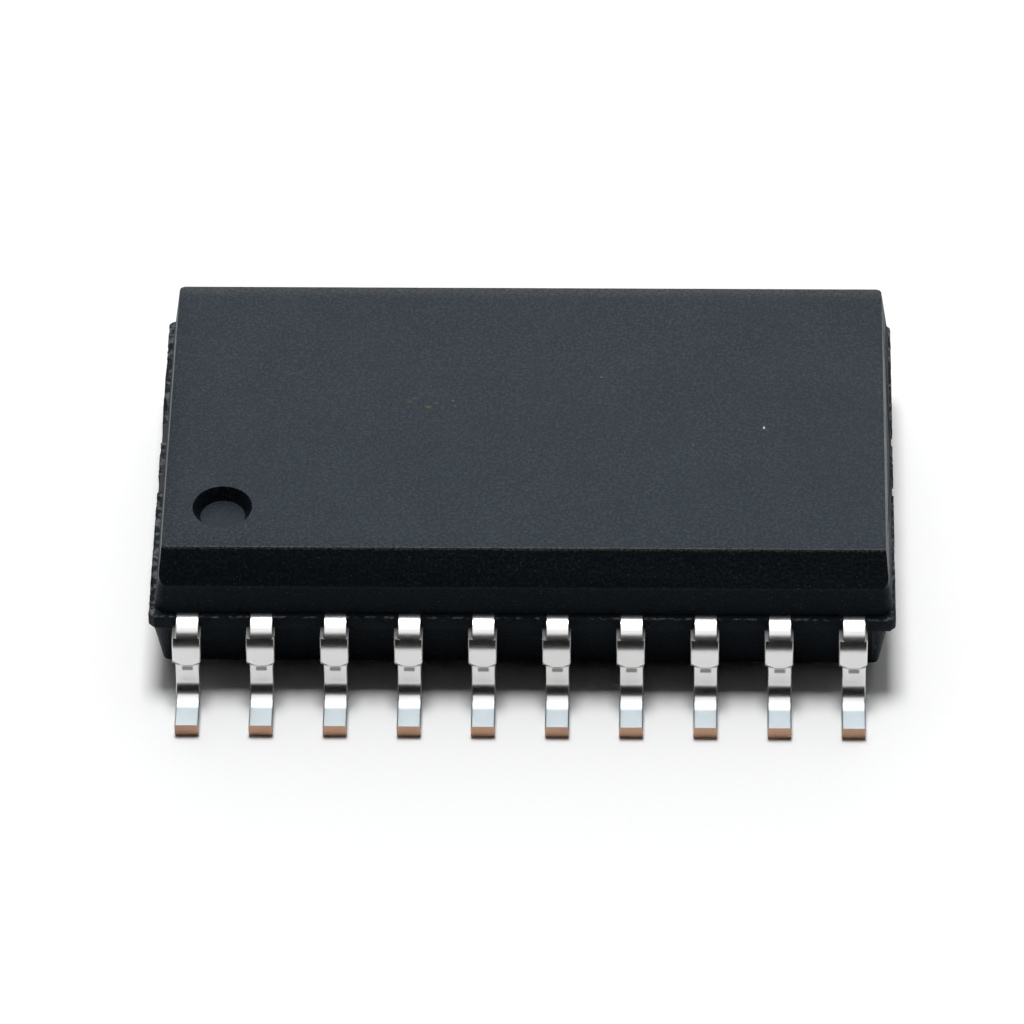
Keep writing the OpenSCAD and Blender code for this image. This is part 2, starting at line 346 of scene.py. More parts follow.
    def epoxy(self, tree: Tree, grains: bpy.types.Node, top: object) -> bpy.types.NodeSocket:
        """Adds the speckled epoxy, with its grains of filler, and paints shade on the sides as
        darker copies of the top's colours.

        Args:
            tree: The material's tree.
            grains: The surface grain's node.
            top: The mask of the top face.

        Returns:
            The colour.
        """
        speckle = tree.fade(grains.outputs["Height"], *self.speckle)
        on_top = tree.blend(speckle, self.dark, self.pale)
        # Painted shade: the sides take the darker copy of the speckle.
        shaded_sides = tree.blend(speckle, self.shaded_side_dark, self.shaded_side_pale)
        return tree.blend(grains.outputs["Fleck"], tree.blend(top, shaded_sides, on_top), self.filler)

    def torn_flash_and_highlight(self, tree: Tree, place: bpy.types.Node) -> bpy.types.NodeSocket:
        """Adds the mask of the pale patches along the flange's upper edge: torn-off flash, with a
        painted highlight where that edge catches light.

        Args:
            tree: The material's tree.
            place: The place on the object, taken apart, in millimetres.

        Returns:
            The mask.
        """
        level = tree.math("ABSOLUTE", tree.math("SUBTRACT", place.outputs[2], self.parting_z))
        near = tree.fade(level, self.flash_band, 0.0)
        outside = tree.math(
            "MAXIMUM",
            tree.math("GREATER_THAN", tree.math("ABSOLUTE", place.outputs[1]), self.flash_y),
            tree.math("GREATER_THAN", tree.math("ABSOLUTE", place.outputs[0]), self.flash_x))
        torn = tree.add("ShaderNodeTexNoise", {
            "Vector": tree.place(), "Scale": self.flash_scale, "Detail": 5.0})
        patches = tree.fade(torn.outputs[0], *self.flash_torn)
        return tree.math("MULTIPLY", tree.math("MULTIPLY", near, outside), patches)

    def wear_and_highlight(self, tree: Tree, grains: bpy.types.Node, place: bpy.types.Node, top: object) -> tuple:
        """Adds the masks of the worn back edge and of a painted highlight along the edge above the
        lead 1 bevel.

        Args:
            tree: The material's tree.
            grains: The surface grain's node.
            place: The place on the object, taken apart, in millimetres.
            top: The mask of the top face.

        Returns:
            Both masks.
        """
        height = grains.outputs["Height"]
        back = tree.math("MULTIPLY", tree.fade(place.outputs[1], *self.worn_y),
                         tree.fade(place.outputs[2], *self.worn_z))
        along = tree.math("ABSOLUTE", tree.math("SUBTRACT", place.outputs[1], self.bevel_y))
        edge_highlight = tree.math("MULTIPLY", tree.fade(along, *self.highlight_half), top)
        return (tree.math("MULTIPLY", back, tree.fade(height, *self.worn_speckle)),
                tree.math("MULTIPLY", edge_highlight, tree.fade(height, *self.highlight_speckle)))

    def sheen(self, tree: Tree, grains: bpy.types.Node,
              place: bpy.types.Node) -> bpy.types.NodeSocket:
        """Adds the roughness: uneven with the grain, rougher on the sides, less so low down.

        Args:
            tree: The material's tree.
            grains: The surface grain's node.
            place: The place on the object, taken apart, in millimetres.

        Returns:
            The roughness.
        """
        sides = tree.fade(place.outputs[2], self.side_z + self.side_blend,
                          self.side_z - self.side_blend)
        lower = tree.fade(place.outputs[2], self.parting_z, self.parting_z - self.lower_blend)
        least = self.roughness - (self.grain_roughness + self.mottle_roughness) / 2
        rough = tree.math("MULTIPLY_ADD", grains.outputs["Height"], self.grain_roughness, least)
        rough = tree.math("MULTIPLY_ADD", grains.outputs["Mottle"], self.mottle_roughness, rough)
        rough = tree.math("MULTIPLY_ADD", sides, self.side_roughness, rough)
        return tree.math("MULTIPLY_ADD", lower, -self.side_roughness / 2, rough)


@dataclass(frozen=True)
class MetalFinish:
    """A metal with rolling lines and a fine grain."""

    name: str
    colour: tuple[float, float, float, float]
    stain: tuple[float, float, float, float]
    roughness: float
    frequency: float = 16.0
    flecks: float = 0.03
    grain_height: float = 0.0012
    stain_share: float = 0.3
    stain_span: tuple[float, float] = (0.42, 0.7)
    specular: float = 0.5
    uneven: float = 0.16
    relief: float = 0.5

    def material(self, grain: bpy.types.NodeTree) -> bpy.types.Material:
        """Makes the material.

        Args:
            grain: The surface grain's group.

        Returns:
            The material.
        """
        material, tree, shader = new_material(self.name, {
            "Metallic": 1.0, "Specular IOR Level": self.specular})
        place = tree.add("ShaderNodeSeparateXYZ", {0: tree.place()})
        grains = tree.add("ShaderNodeGroup", {
            "Frequency": self.frequency, "Flecks": self.flecks}, node_tree=grain)
        stained = tree.math("MULTIPLY", tree.fade(grains.outputs["Mottle"], *self.stain_span),
                            self.stain_share)
        colour = tree.blend(stained, self.colour, self.stain)
        colour = tree.blend(grains.outputs["Fleck"], colour, self.stain)
        rough = tree.math("MULTIPLY_ADD", grains.outputs["Height"], self.uneven,
                          self.roughness - self.uneven / 2)
        tree.feed(shader.inputs["Roughness"], rough)
        colour, relief = self.detail(tree, shader, place, colour, grains.outputs["Height"])
        tree.feed(shader.inputs["Base Color"], colour)
        bump(tree, shader, relief, self.grain_height, self.relief)
        return material

    def detail(self, tree: Tree, shader: bpy.types.Node, place: bpy.types.Node, colour: object,
               height: object) -> tuple[object, object]:
        """Adds what only some metals have; plain metals have nothing more.

        Args:
            tree: The material's tree.
            shader: The shader.
            place: The place on the object, taken apart, in millimetres.
            colour: The colour so far.
            height: The relief so far.

        Returns:
            The colour and the relief.
        """
        return colour, height


@dataclass(frozen=True)
class TinFinish(MetalFinish):
    """Tin plate, with the low step that the forming tool leaves across each lead's face, and
    painted shade along the step and below its middle.
    """

    pitch: float = 1.27
    half_width: float = 0.205
    bent_y: float = 4.0
    mark_z: float = 0.835
    mark_rise: float = 0.05
    mark_edge: float = 0.008
    step: float = 40.0
    line_half: float = 0.022
    line_ends: tuple[float, float] = (0.1, 0.75)
    step_shade_strength: float = 0.8
    dent_z: float = 0.787
    dent_wide: tuple[float, float] = (0.110, 0.077)
    dent_tall: tuple[float, float] = (0.0546, 0.021)
    dent_shade_strength: float = 0.75
    # Colour of the painted shade along the forming step and in the patch below it.
    dark: tuple[float, float, float, float] = (0.055, 0.055, 0.053, 1.0)
    # The foot's tin, painted darker and bluer: a painted reflection of its surroundings.
    foot: tuple[float, float, float, float] = (0.315, 0.35, 0.37, 1.0)
    foot_z: float = 0.275
    foot_blend: tuple[float, float] = (0.02, 0.01)
    foot_roughness: float = 0.22

    def detail(self, tree: Tree, shader: bpy.types.Node, place: bpy.types.Node, colour: object,
               height: object) -> tuple[object, object]:
        """Adds the forming mark: a low step with a curved edge, with painted shade along the step
        and a painted shade patch, standing for a dent, below its middle.

        Args:
            tree: The material's tree.
            shader: The shader.
            place: The place on the object, taken apart, in millimetres.
            colour: The colour so far.
            height: The relief so far.

        Returns:
            The colour and the relief.
        """
        turns = tree.math("FRACT", tree.math("DIVIDE", place.outputs[0], self.pitch))
        across = tree.math("MULTIPLY", tree.math("SUBTRACT", turns, 0.5), self.pitch)
        share = tree.math("ABSOLUTE", tree.math("DIVIDE", across, self.half_width))
        share = tree.math("POWER", share, 2.0)
        above = tree.math("SUBTRACT", place.outputs[2],
                          tree.math("MULTIPLY_ADD", share, self.mark_rise, self.mark_z))
        outside = tree.math("GREATER_THAN", tree.math("ABSOLUTE", place.outputs[1]), self.bent_y)
        raised = tree.math("MULTIPLY", tree.fade(above, -self.mark_edge, self.mark_edge), outside)
        relief = tree.math("MULTIPLY_ADD", raised, self.step, height)
        # Painted shade line along the step's edge.
        step_shade = tree.math("MULTIPLY",
                         tree.fade(tree.math("ABSOLUTE", above), self.line_half, self.mark_edge),
                         tree.fade(share, *self.line_ends))
        # Painted shade patch below the step's middle; it has no relief.
        wide = tree.fade(tree.math("ABSOLUTE", across), *self.dent_wide)
        below = tree.math("ABSOLUTE", tree.math("SUBTRACT", place.outputs[2], self.dent_z))
        dent_shade = tree.math("MULTIPLY", wide, tree.fade(below, *self.dent_tall))
        mark_shade = tree.math("MAXIMUM", tree.math("MULTIPLY", dent_shade, self.dent_shade_strength),
                           tree.math("MULTIPLY", step_shade, self.step_shade_strength))
        mark_shade = tree.math("MULTIPLY", mark_shade, outside)
        # Painted reflection: below foot_z the tin takes the darker, bluer foot colour.
        foot = tree.fade(place.outputs[2], self.foot_z + self.foot_blend[0],
                         self.foot_z - self.foot_blend[1])
        rough = shader.inputs["Roughness"]
        even = rough.links[0].from_socket
        tree.feed(rough, tree.math("MULTIPLY_ADD", foot, self.foot_roughness, even))
        colour = tree.blend(foot, colour, self.foot)
        return tree.blend(mark_shade, colour, self.dark), relief


@dataclass(frozen=True)
class PadFinish(MetalFinish):
    """Copper of the die pad, with the epoxy that bleeds over its tie bars on the flange's ledge."""

    bleed: tuple[float, float, float, float] = (0.0050, 0.0066, 0.0086, 1.0)
    bleed_z: float = 1.5185
    bleed_x: float = 6.2

    def detail(self, tree: Tree, shader: bpy.types.Node, place: bpy.types.Node, colour: object,
               height: object) -> tuple[object, object]:
        """Adds the skin of epoxy.

        Args:
            tree: The material's tree.
            shader: The shader.
            place: The place on the object, taken apart, in millimetres.
            colour: The colour so far.
            height: The relief so far.

        Returns:
            The colour and the relief.
        """
        out = tree.math("GREATER_THAN", tree.math("ABSOLUTE", place.outputs[0]), self.bleed_x)
        skin = tree.math("MULTIPLY", out, tree.math("GREATER_THAN", place.outputs[2], self.bleed_z))
        tree.feed(shader.inputs["Metallic"], tree.math("SUBTRACT", 1.0, skin))
        return tree.blend(skin, colour, self.bleed), height


def new_material(name: str, constants: dict[str, object]) -> tuple:
    """Makes a material with a Principled shader.

    Args:
        name: The material's name.
        constants: Values of the shader's own sockets.

    Returns:
        The material, its wrapped tree and the shader.
    """
    material = bpy.data.materials.new(name)
    material.use_nodes = True
    shader = material.node_tree.nodes["Principled BSDF"]
    for socket, value in constants.items():
        shader.inputs[socket].default_value = value
    return material, Tree(material.node_tree), shader


def bump(tree: Tree, shader: bpy.types.Node, height: object, depth: float,
         strength: float) -> None:
    """Joins a height to a shader's normal.

    Args:
        tree: The material's tree.
        shader: The shader.
        height: The height's socket.
        depth: Height of the relief, in millimetres.
        strength: Strength of the Bump node.
    """
    node = tree.add("ShaderNodeBump", {
        "Height": height, "Distance": depth * MM, "Strength": strength})
    tree.feed(shader.inputs["Normal"], node.outputs[0])


class Finishes:
    """Every material of the chip."""

    def __init__(self) -> None:
        """Builds the shared groups and the materials."""
        grain, spot = grain_group(), spot_group()
        self.mould = MouldFinish().material(grain, spot)
        self.tin = TinFinish(
            "tin_plate", colour=(0.69, 0.69, 0.685, 1), stain=(0.56, 0.55, 0.53, 1),
            roughness=0.245, uneven=0.06, relief=0.22, flecks=0.01).material(grain)
        self.sheared = MetalFinish(
            "sheared_copper", colour=(0.50, 0.31, 0.21, 1), stain=(0.33, 0.22, 0.16, 1),
            roughness=0.46, grain_height=0.004, stain_share=0.6).material(grain)
        self.copper = PadFinish(
            "bare_copper_alloy", colour=(0.42, 0.28, 0.19, 1), stain=(0.27, 0.20, 0.15, 1),
            roughness=0.45, grain_height=0.004, stain_share=0.7, specular=0.155).material(grain)
        self.paste = MetalFinish(
            "silver_paste", colour=(0.62, 0.62, 0.64, 1), stain=(0.4, 0.4, 0.42, 1),
            roughness=0.55).material(grain)
        self.silicon = MetalFinish(
            "polished_silicon", colour=(0.20, 0.22, 0.29, 1), stain=(0.12, 0.14, 0.22, 1),
            roughness=0.16).material(grain)
        self.gold = MetalFinish(
            "gold", colour=(0.95, 0.70, 0.28, 1), stain=(0.8, 0.55, 0.2, 1),
            roughness=0.2).material(grain)


# ---------------------------------------------------------------- shaping by hand


def deselect_all() -> None:
    """Leaves object mode with nothing selected."""
    if bpy.context.object and bpy.context.object.mode != "OBJECT":
        bpy.ops.object.mode_set(mode="OBJECT")
    bpy.ops.object.select_all(action="DESELECT")


def take_up(piece: bpy.types.Object) -> None:
    """Makes a piece the only one selected, and active.

    Args:
        piece: The object.
    """
    deselect_all()
    piece.select_set(True)
    bpy.context.view_layer.objects.active = piece


def choose(piece: bpy.types.Object, kind: str, test: Callable[[object], bool]) -> int:
    """Selects the parts of a mesh that pass a test, and nothing else, and enters edit mode.

    Args:
        piece: The object being shaped.
        kind: VERT, EDGE or FACE.
        test: Called with each vertex, edge or polygon.

    Returns:
        How many were selected.
    """
    take_up(piece)
    bpy.ops.object.mode_set(mode="EDIT")
    bpy.ops.mesh.select_mode(type=kind)
    bpy.ops.mesh.select_all(action="DESELECT")
    bpy.ops.object.mode_set(mode="OBJECT")
    mesh = piece.data
    parts = {"VERT": mesh.vertices, "EDGE": mesh.edges, "FACE": mesh.polygons}[kind]
    count = 0
    for part in parts:
        if test(part):
            part.select = True
            count += 1
    bpy.ops.object.mode_set(mode="EDIT")
    return count


def finish_mesh(piece: bpy.types.Object, angle: float) -> None:
    """Brings a piece worked in millimetres to metres, and smooths it.

    Args:
        piece: The object.
        angle: Edges sharper than this, in degrees, stay sharp.
    """
    take_up(piece)
    bpy.ops.object.shade_smooth_by_angle(angle=math.radians(angle))
    modifier = piece.modifiers.new("even_normals", "WEIGHTED_NORMAL")
    modifier.keep_sharp = True
    bpy.ops.object.modifier_apply(modifier=modifier.name)
    piece.scale = (MM, MM, MM)
    bpy.ops.object.transform_apply(location=True, rotation=True, scale=True)


def copy_of(piece: bpy.types.Object, name: str) -> bpy.types.Object:
    """Copies a piece with a mesh of its own.

    Args:
        piece: The object to copy.
        name: The copy's name.

    Returns:
        The copy.
    """
    mesh = piece.data.copy()
    mesh.name = name
    copy = bpy.data.objects.new(name, mesh)
    bpy.context.scene.collection.objects.link(copy)
    return copy


# ---------------------------------------------------------------- sub-assemblies


@dataclass
class MouldedBody:
    """The moulding, with its edges eased and its parting flash left rough. Sizes in millimetres."""

    finishes: Finishes
    node: str = "moulded_body"
    top_z: float = 2.56
    bottom_z: float = 0.22
    parting_z: float = 1.52
    upper_foot_z: float = 2.085
    upper_end_x: float = 6.39
    upper_end_y: float = 3.69
    upper_draft: float = 7.7
    corner_r: float = 0.1
    corner_sides: int = 48
    merge_gap: float = 0.0005
    flat_angle: float = 0.5
    smooth_angle: float = 32.0
    level_gap: float = 0.002
    rim_x: float = 6.0
    rim_y: float = 3.0
    edge_ease: float = 0.03
    ease_steps: int = 3
    flash_rounds: int = 6
    flash_step: float = 0.09
    flash_depth: float = 0.022
    ledge_y: float = 3.79
    ledge_x: float = 6.36
    seed: int = 11

    def build(self) -> bpy.types.Object:
        """Shapes and dresses the moulding.

        Returns:
            The finished piece.
        """
        piece = copy_of(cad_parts[self.node], "moulding")
        piece.data.transform(Matrix.Scale(1 / MM, 4))
        take_up(piece)
        bpy.ops.mesh.customdata_custom_splitnormals_clear()
        self.merge(piece)
        self.close_corner(piece)
        self.ease_edges(piece)
        self.roughen_flash(piece)
        finish_mesh(piece, self.smooth_angle)
        piece.data.materials.clear()
        piece.data.materials.append(self.finishes.mould)
        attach(piece, "root")
        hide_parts(self.node)
        LOG.info("moulding: %d faces", len(piece.data.polygons))
        return piece

    def merge(self, piece: bpy.types.Object) -> None:
        """Joins the loose triangles of a mesh into flat faces.

        Args:
            piece: The moulding.
        """
        choose(piece, "VERT", lambda vertex: True)
        bpy.ops.mesh.remove_doubles(threshold=self.merge_gap)
        bpy.ops.mesh.dissolve_limited(angle_limit=math.radians(self.flat_angle))
        bpy.ops.object.mode_set(mode="OBJECT")

    def close_corner(self, piece: bpy.types.Object) -> None:
        """Rounds the upper half's corner at +X, +Y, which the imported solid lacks.

        Args:
            piece: The moulding.
        """
        deselect_all()
        height = self.top_z - self.parting_z
        foot_r = self.corner_r + height * math.tan(math.radians(self.upper_draft))
        bpy.ops.mesh.primitive_cone_add(
            vertices=self.corner_sides, radius1=foot_r, radius2=self.corner_r, depth=height,
            location=(self.upper_end_x - foot_r, self.upper_end_y - foot_r,
                      self.parting_z + height / 2))
        corner = bpy.context.object
        take_up(piece)
        joined = piece.modifiers.new("corner", "BOOLEAN")
        joined.operation = "UNION"
        joined.solver = "EXACT"
        joined.object = corner
        bpy.ops.object.modifier_apply(modifier=joined.name)
        bpy.data.objects.remove(corner)

    def ease_edges(self, piece: bpy.types.Object) -> None:
        """Rounds the outer edges of the top and bottom faces and of the lead 1 bevel.

        Args:
            piece: The moulding.
        """
        points = piece.data.vertices

        def is_rim(edge: bpy.types.MeshEdge) -> bool:
            """Tells whether an edge is on an outer rim."""
            a, b = (points[i].co for i in edge.vertices)
            level = any(max(abs(a.z - z), abs(b.z - z)) < self.level_gap
                        for z in (self.top_z, self.bottom_z, self.upper_foot_z))
            middle = (a + b) / 2
            return level and (abs(middle.y) > self.rim_y or abs(middle.x) > self.rim_x)

        count = choose(piece, "EDGE", is_rim)
        bpy.ops.mesh.bevel(offset=self.edge_ease, segments=self.ease_steps, affect="EDGES",
                           clamp_overlap=True)
        LOG.info("moulding: %d rim edges eased", count)

    def roughen_flash(self, piece: bpy.types.Object) -> None:
        """Breaks up the flange's upper edge, always inward.

        Args:
            piece: The moulding.
        """
        bpy.ops.object.mode_set(mode="OBJECT")
        points = piece.data.vertices

        def on_edge(point: Vector) -> bool:
            """Tells whether a point is on the flange's upper outer edge."""
            return abs(point.z - self.parting_z) < self.level_gap and (
                abs(point.y) > self.ledge_y or abs(point.x) > self.ledge_x)

        def is_long(edge: bpy.types.MeshEdge) -> bool:
            """Tells whether an edge lies along the flange's and is longer than the step."""
            a, b = (points[i].co for i in edge.vertices)
            return on_edge(a) and on_edge(b) and (a - b).length > self.flash_step

        for _ in range(self.flash_rounds):
            choose(piece, "EDGE", is_long)
            bpy.ops.mesh.subdivide(number_cuts=1)
            bpy.ops.object.mode_set(mode="OBJECT")
            points = piece.data.vertices
        choose(piece, "FACE", lambda face: len(face.vertices) > 4)
        bpy.ops.mesh.quads_convert_to_tris(ngon_method="BEAUTY")
        bpy.ops.object.mode_set(mode="OBJECT")
        draw = random.Random(self.seed)
        for vertex in piece.data.vertices:
            if on_edge(vertex.co):
                depth = self.flash_depth * draw.random() ** 2
                if abs(vertex.co.y) > self.ledge_y:
                    vertex.co.y -= math.copysign(depth, vertex.co.y)
                else:
                    vertex.co.x -= math.copysign(depth, vertex.co.x)
                vertex.co.z -= self.flash_depth * draw.random() ** 2


@dataclass
class GullWingLeads:
    """The twenty leads: one gull wing, modelled once, with a finger of its own on each.

    Sizes are in millimetres.
    """

    finishes: Finishes
    per_row: int = 10
    pitch: float = 1.27
    width: float = 0.41
    thick: float = 0.25
    top_z: float = 1.52
    bend_y: float = 3.70
    bend_r: float = 0.54
    heel_r: float = 0.40
    riser_angle: float = 77.0
    foot: float = 0.406
    section_ease: float = 0.032
    ease_steps: int = 3
    bend_steps: int = 14
    smooth_angle: float = 28.0
    facing: float = 0.9
    end_gap: float = 0.001
    stub_share: float = 0.9
    stub_left: float = 0.055
    stub_right: float = 0.025
    stub_low: float = 0.885
    stub_top: float = 1.32
    anchor_y: float = 3.44
    anchor_l: float = 0.30
    anchor_w: float = 0.62
    finger_w: float = 0.38
    tip_w: float = 0.28
    finger_pitch: float = 0.95
    row_fingers: int = 3
    row_y: float = 1.95
    end_x: float = 2.99
    end_pitch: float = 0.53
    toe_y: float = field(init=False, default=0.0)

    def build(self) -> list[bpy.types.Object]:
        """Shapes and dresses every lead.

        Returns:
            The finished leads.
        """
        wing = self.gull_wing()
        made = []
        for number in range(1, 2 * self.per_row + 1):
            row = Row.FRONT if number <= self.per_row else Row.BACK
            place = number - (self.per_row + 1) / 2
            if row is Row.BACK:
                place = 2 * self.per_row - number - (self.per_row - 1) / 2
            piece = copy_of(wing, f"gull_wing_{number:02d}")
            piece.data.transform(Matrix.Translation((place * self.pitch, 0, 0)))
            self.finger(piece, place)
            if row is Row.BACK:
                piece.data.transform(Matrix.Scale(-1, 4, (0, 1, 0)))
            choose(piece, "FACE", lambda face: True)
            bpy.ops.mesh.normals_make_consistent(inside=False)
            finish_mesh(piece, self.smooth_angle)
            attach(piece, "root")
            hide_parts(f"lead_{number:02d}")
            made.append(piece)
        bpy.data.objects.remove(wing)
        LOG.info("leads: %d, %d faces each", len(made), len(made[0].data.polygons))
        return made

    def gull_wing(self) -> bpy.types.Object:
        """Models a front-row wing at the middle of the row, from its anchor to its toe.

        Returns:
            The wing, in millimetres.
        """
        deselect_all()
        bpy.ops.mesh.primitive_plane_add(size=1, location=(0, 0, 0))
        wing = bpy.context.object
        wing.name = "gull_wing"
        wing.data.transform(Matrix.Diagonal((self.width, self.thick, 1, 1)))
        wing.data.transform(Matrix.Rotation(math.radians(90), 4, "X"))
        wing.data.transform(Matrix.Translation((0, -self.anchor_y, self.top_z - self.thick / 2)))
        choose(wing, "VERT", lambda vertex: True)
        bpy.ops.mesh.bevel(offset=self.section_ease, segments=self.ease_steps, affect="VERTICES")
        bpy.ops.mesh.select_mode(type="FACE")
        bpy.ops.mesh.select_all(action="SELECT")
        turn = math.radians(self.riser_angle)
        self.draw_out((0, self.anchor_y - self.bend_y, 0))
        bpy.ops.mesh.spin(steps=self.bend_steps, angle=-turn, axis=(1, 0, 0),
                          center=(0, -self.bend_y, self.top_z - self.bend_r))
        drop = self.top_z - self.thick - (self.bend_r + self.heel_r) * (1 - math.cos(turn))
        self.draw_out((0, -drop / math.tan(turn), -drop))
        heel_y = self.bend_y + (self.bend_r + self.heel_r) * math.sin(turn) + drop / math.tan(turn)
        bpy.ops.mesh.spin(steps=self.bend_steps, angle=turn, axis=(1, 0, 0),
                          center=(0, -heel_y, self.thick + self.heel_r))
        self.draw_out((0, -self.foot, 0))
        self.toe_y = heel_y + self.foot
        self.dam_bar_stubs(wing)
        wing.data.materials.append(self.finishes.tin)
        wing.data.materials.append(self.finishes.sheared)
        stub_x = self.width / 2 + min(self.stub_left, self.stub_right) * self.stub_share
        for face in wing.data.polygons:
            toe = face.center.y < self.end_gap - self.toe_y
            sheared = abs(face.center.x) > stub_x and abs(face.normal.x) > self.facing
            face.material_index = int(toe or sheared)
        low, high = (Vector(end(point.co[i] for point in wing.data.vertices) for i in range(3))
                     for end in (min, max))
        LOG.info("wing from %s to %s mm", [round(v, 4) for v in low], [round(v, 4) for v in high])
        return wing

    def draw_out(self, step: tuple[float, float, float]) -> None:
        """Extrudes the selected end face.

        Args:
            step: How far, in millimetres.
        """
        bpy.ops.mesh.extrude_region_move(TRANSFORM_OT_translate={"value": step})

    def dam_bar_stubs(self, wing: bpy.types.Object) -> None:
        """Draws out the stubs that the dam bar's shears left on both sides.

        Args:
            wing: The wing.
        """
        for level in (self.stub_low, self.stub_top):
            bpy.ops.mesh.select_all(action="SELECT")
            bpy.ops.mesh.bisect(plane_co=(0, 0, level), plane_no=(0, 0, 1))
        bpy.ops.object.mode_set(mode="OBJECT")
        wall_x = self.width / 2 - self.section_ease
        for side, reach in ((-1, self.stub_left), (1, self.stub_right)):
            choose(wing, "FACE", lambda face: face.center.x * side > wall_x
                   and self.stub_low < face.center.z < self.stub_top
                   and face.center.y < -self.bend_y)
            self.draw_out((side * reach, 0, 0))
            bpy.ops.object.mode_set(mode="OBJECT")

    def tip(self, place: float) -> tuple[float, float]:
        """Gives where a front-row finger ends, beside the die pad.

        Args:
            place: The lead's place along the row, in pitches.

        Returns:
            X and Y of the tip's middle, in millimetres.
        """
        nth = abs(place) + 0.5 - self.row_fingers
        if nth <= 0:
            return place * self.finger_pitch, -self.row_y
        return math.copysign(self.end_x, place), (nth - 1) * self.end_pitch - self.row_y

    def finger(self, piece: bpy.types.Object, place: float) -> None:
        """Draws a lead's anchor and finger inward from its root.

        Args:
            piece: The lead, still in millimetres.
            place: Its place along the row, in pitches.
        """
        choose(piece, "FACE", lambda face: face.normal.y > self.facing
               and abs(face.center.y + self.anchor_y) < self.end_gap)
        tip_x, tip_y = self.tip(place)
        self.widen(self.anchor_w / self.width)
        self.draw_out((0, self.anchor_l, 0))
        self.widen(self.finger_w / self.anchor_w)
        self.draw_out((tip_x - place * self.pitch, tip_y + self.anchor_y - self.anchor_l, 0))
        bpy.ops.transform.resize(value=(self.tip_w / self.finger_w, 1, 1))
        bpy.ops.object.mode_set(mode="OBJECT")

    def widen(self, share: float) -> None:
        """Extrudes the selected face in its own plane and changes its width.

        Args:
            share: New width over old width.
        """
        self.draw_out((0, 0, 0))
        bpy.ops.transform.resize(value=(share, 1, 1))


@dataclass
class InnerParts:
    """What the moulding closes round: pad, paste, silicon and wires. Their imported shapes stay."""

    finishes: Finishes
    wires: int = 20

    def build(self) -> None:
        """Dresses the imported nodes."""
        dress = {"die_pad": self.finishes.copper, "die_attach": self.finishes.paste,
                 "silicon_die": self.finishes.silicon}
        dress.update({f"bond_wire_{n:02d}": self.finishes.gold for n in range(1, self.wires + 1)})
        for node, material in dress.items():
            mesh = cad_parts[node].data
            mesh.materials.clear()
            mesh.materials.append(material)
            LOG.info("%s: %s", node, material.name)


# ---------------------------------------------------------------- studio


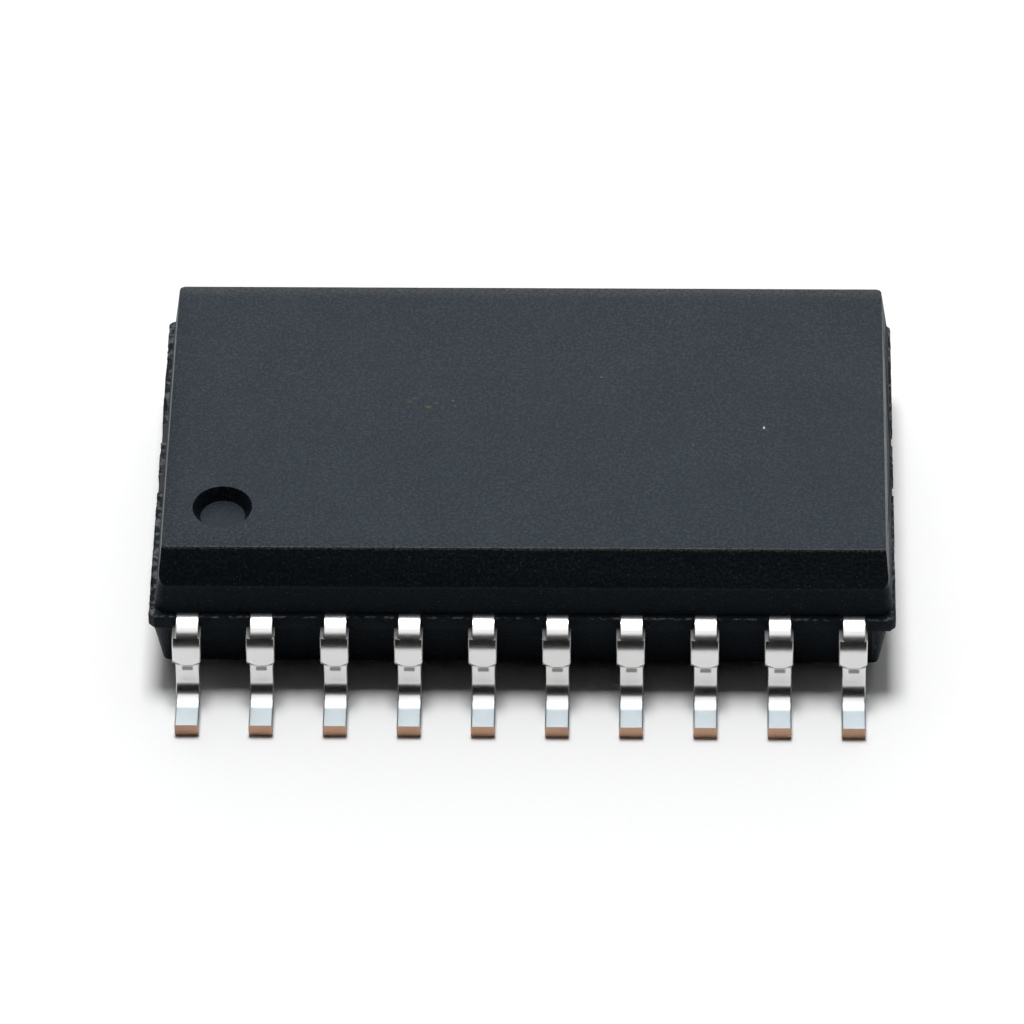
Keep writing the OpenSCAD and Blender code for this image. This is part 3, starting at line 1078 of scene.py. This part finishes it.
@dataclass
class Studio:
    """Floor, lights and camera, in millimetres and degrees."""

    target: tuple[float, float, float] = (0.0379, 0.0, 1.2)
    elevation: float = 42.998
    azimuth: float = 1.610
    roll: float = -0.8335
    distance: float = 148.965
    lens: float = 299.58
    shift: tuple[float, float] = (-0.01456, -0.03003)
    sensor: float = 36.0
    clip_start: float = 0.01
    floor_size: float = 3000.0
    floor_drop: float = 0.0005
    floor_colour: tuple[float, float, float, float] = (0.90, 0.91, 0.92, 1.0)
    floor_seen: tuple[float, float, float, float] = (1.0, 1.0, 1.0, 1.0)
    box_distance: float = 450.0
    key_tilt: float = 15.0
    key_side: float = -1.5
    key_size: float = 135.0
    key_power: float = 1.60
    sheen_tilt: float = -17.0
    sheen_size: float = 290.0
    sheen_power: float = 0.36
    back_tilt: float = 47.0
    back_size: float = 360.0
    back_power: float = 1.24
    fill_power: float = 0.88
    world_front: float = 0.0
    world_back: float = 0.40
    world_span: tuple[float, float] = (-0.45, 0.55)
    world_colour: tuple[float, float, float, float] = (0.97, 0.985, 1.0, 1.0)

    def build(self) -> None:
        """Sets up the scene."""
        self.floor()
        self.lights()
        self.camera()
        bpy.context.scene.view_settings.view_transform = "Standard"

    def floor(self) -> None:
        """Adds a white floor that keeps the chip's shadow and lets its underside be seen."""
        deselect_all()
        bpy.ops.mesh.primitive_plane_add(
            size=self.floor_size * MM, location=(0, 0, -self.floor_drop * MM))
        floor = bpy.context.object
        floor.name = "floor"
        material, tree, shader = new_material("white_floor", {
            "Roughness": 0.9, "Specular IOR Level": 0.0})
        paths = tree.add("ShaderNodeLightPath")
        seen = tree.math("MAXIMUM", paths.outputs["Is Camera Ray"], paths.outputs["Is Glossy Ray"])
        seen = tree.math("MAXIMUM", seen, paths.outputs["Is Transmission Ray"])
        tree.feed(shader.inputs["Base Color"], tree.blend(seen, self.floor_colour, self.floor_seen))
        below = tree.add("ShaderNodeNewGeometry").outputs["Backfacing"]
        tree.feed(shader.inputs["Alpha"], tree.math("SUBTRACT", 1.0, below))
        floor.data.materials.append(material)

    def lights(self) -> None:
        """Adds four softboxes, and a world that is pale behind and dark in front."""
        self.softbox("key", self.key_tilt, self.key_size, self.key_power, self.key_side)
        back = self.softbox("back", self.back_tilt, self.back_size, self.back_power)
        fill = self.softbox("fill", self.back_tilt, self.back_size, self.fill_power)
        sheen = self.softbox("sheen", self.sheen_tilt, self.sheen_size, self.sheen_power)
        back.visible_diffuse = sheen.visible_diffuse = False
        fill.visible_glossy = False
        world = bpy.data.worlds.new("studio")
        bpy.context.scene.world = world
        world.use_nodes = True
        tree = Tree(world.node_tree)
        ground = world.node_tree.nodes["Background"]
        direction = tree.add("ShaderNodeTexCoord").outputs["Generated"]
        behind = tree.add("ShaderNodeSeparateXYZ", {0: direction}).outputs[1]
        strength = tree.math("MULTIPLY_ADD", tree.fade(behind, *self.world_span),
                             self.world_back - self.world_front, self.world_front)
        tree.feed(ground.inputs["Strength"], strength)
        tree.feed(ground.inputs["Color"], self.world_colour)

    def softbox(self, name: str, tilt: float, size: float, power: float,
                side: float = 0.0) -> bpy.types.Object:
        """Adds a square softbox that faces the chip.

        Args:
            name: The lamp's name.
            tilt: How far behind straight overhead it is, in degrees.
            size: Side, in millimetres.
            power: Power, in watts.
            side: How far towards +X it is, in degrees.

        Returns:
            The lamp.
        """
        angle = math.radians(tilt)
        towards = Vector((math.tan(math.radians(side)), math.sin(angle), math.cos(angle)))
        towards.normalize()
        light = bpy.data.lights.new(name, "AREA")
        light.shape = "SQUARE"
        light.size = size * MM
        light.energy = power
        lamp = bpy.data.objects.new(name, light)
        lamp.location = towards * self.box_distance * MM
        lamp.rotation_euler = towards.to_track_quat("Z", "Y").to_euler()
        bpy.context.scene.collection.objects.link(lamp)
        return lamp

    def camera(self) -> None:
        """Adds the camera."""
        up_angle, side_angle, roll = map(math.radians, (self.elevation, self.azimuth, self.roll))
        back = Vector((math.sin(side_angle) * math.cos(up_angle),
                       -math.cos(side_angle) * math.cos(up_angle), math.sin(up_angle)))
        right = Vector((math.cos(side_angle), math.sin(side_angle), 0))
        up = back.cross(right)
        turned_right = right * math.cos(roll) + up * math.sin(roll)
        turned_up = up * math.cos(roll) - right * math.sin(roll)
        data = bpy.data.cameras.new("camera")
        data.lens = self.lens
        data.sensor_width = self.sensor
        data.shift_x, data.shift_y = self.shift
        data.clip_start = self.clip_start
        camera = bpy.data.objects.new("camera", data)
        place = (Vector(self.target) + back * self.distance) * MM
        axes = Matrix((turned_right, turned_up, back)).transposed().to_4x4()
        camera.matrix_world = Matrix.Translation(place) @ axes
        bpy.context.scene.collection.objects.link(camera)
        bpy.context.scene.camera = camera


def main() -> None:
    """Builds the sub-assemblies in order."""
    logging.basicConfig(level=logging.INFO, format="%(name)s: %(message)s")
    Studio().build()
    finishes = Finishes()
    MouldedBody(finishes).build()
    GullWingLeads(finishes).build()
    InnerParts(finishes).build()
    deselect_all()


if __name__ == "__main__":
    main()
